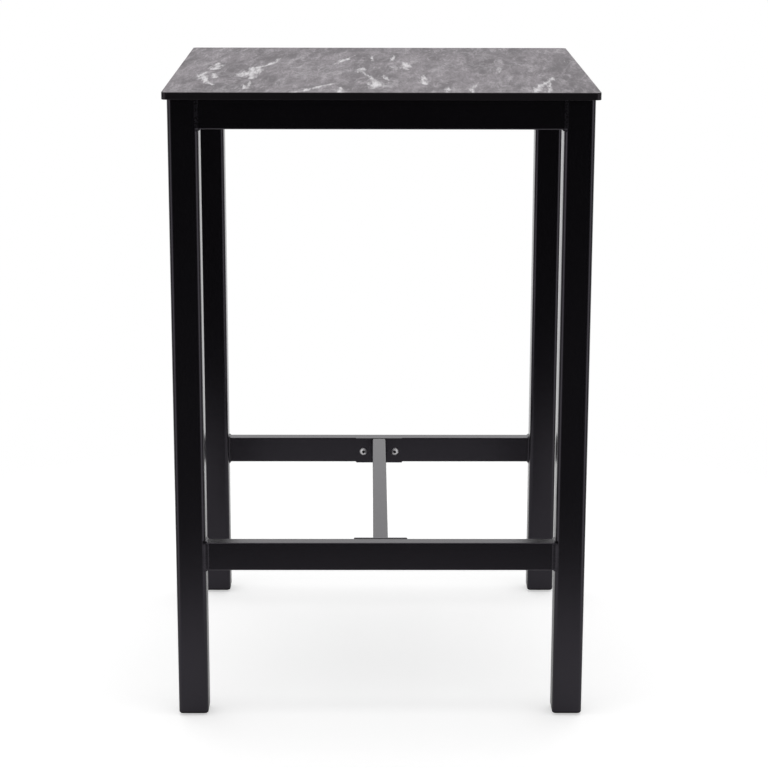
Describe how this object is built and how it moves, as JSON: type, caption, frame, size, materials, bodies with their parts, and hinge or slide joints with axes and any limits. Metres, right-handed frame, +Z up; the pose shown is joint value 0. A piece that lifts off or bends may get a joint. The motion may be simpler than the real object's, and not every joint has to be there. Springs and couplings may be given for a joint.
{
  "type": "pub table",
  "caption": "Square bar-height table: thin marble-look laminate top on a black square-tube frame with foot rails, a bolted cross rail and levelling feet.",
  "frame": {"origin": "on the floor, under the middle of the table", "axes": "+X to the right, +Y to the rear, +Z up; the cross rail runs along Y"},
  "size_m": [0.7, 0.7, 1.06],
  "materials": {
    "laminate_top": "satin compact laminate, dark grey marble decor with pale veins on a black core",
    "black_frame": "semi-gloss black powder coat with a fine texture",
    "bright_bolts": "bright zinc-plated button-head bolts",
    "zinc_steel": "zinc-plated steel nuts and studs",
    "brass_inserts": "turned brass",
    "black_nylon": "moulded black nylon"
  },
  "bodies": {
    "frame": {"apron_bolts_left_front": "bright_bolts", "apron_bolts_left_rear": "bright_bolts", "apron_bolts_right_front": "bright_bolts", "apron_bolts_right_rear": "bright_bolts", "apron_front": "black_frame", "apron_left": "black_frame", "apron_plate_left_front": "black_frame", "apron_plate_left_rear": "black_frame", "apron_plate_right_front": "black_frame", "apron_plate_right_rear": "black_frame", "apron_rear": "black_frame", "apron_right": "black_frame", "cross_rail": "black_frame", "cross_rail_bolts_front": "bright_bolts", "cross_rail_bolts_rear": "bright_bolts", "cross_rail_flange_front": "black_frame", "cross_rail_flange_rear": "black_frame", "foot_rail_front": "black_frame", "foot_rail_nuts_front": "zinc_steel", "foot_rail_nuts_rear": "zinc_steel", "foot_rail_rear": "black_frame", "glide_nut_front_left": "zinc_steel", "glide_nut_front_right": "zinc_steel", "glide_nut_rear_left": "zinc_steel", "glide_nut_rear_right": "zinc_steel", "leg_front_left": "black_frame", "leg_front_right": "black_frame", "leg_nuts_left_front": "zinc_steel", "leg_nuts_left_rear": "zinc_steel", "leg_nuts_right_front": "zinc_steel", "leg_nuts_right_rear": "zinc_steel", "leg_plug_front_left": "black_nylon", "leg_plug_front_right": "black_nylon", "leg_plug_rear_left": "black_nylon", "leg_plug_rear_right": "black_nylon", "leg_rear_left": "black_frame", "leg_rear_right": "black_frame", "table_top": "laminate_top", "top_inserts": "brass_inserts", "top_screws": "bright_bolts", "top_tabs_front": "black_frame", "top_tabs_left": "black_frame", "top_tabs_rear": "black_frame", "top_tabs_right": "black_frame"},
    "glide_front_left": {"glide_pad_front_left": "black_nylon", "glide_stud_front_left": "zinc_steel"},
    "glide_front_right": {"glide_pad_front_right": "black_nylon", "glide_stud_front_right": "zinc_steel"},
    "glide_rear_left": {"glide_pad_rear_left": "black_nylon", "glide_stud_rear_left": "zinc_steel"},
    "glide_rear_right": {"glide_pad_rear_right": "black_nylon", "glide_stud_rear_right": "zinc_steel"}
  },
  "joints": [
    {"name": "glide_front_left_height", "type": "slide", "parent": "frame", "child": "glide_front_left", "axis": [0, 0, -1], "range_m": [0, 0.012]},
    {"name": "glide_front_right_height", "type": "slide", "parent": "frame", "child": "glide_front_right", "axis": [0, 0, -1], "range_m": [0, 0.012]},
    {"name": "glide_rear_left_height", "type": "slide", "parent": "frame", "child": "glide_rear_left", "axis": [0, 0, -1], "range_m": [0, 0.012]},
    {"name": "glide_rear_right_height", "type": "slide", "parent": "frame", "child": "glide_rear_right", "axis": [0, 0, -1], "range_m": [0, 0.012]}
  ]
}
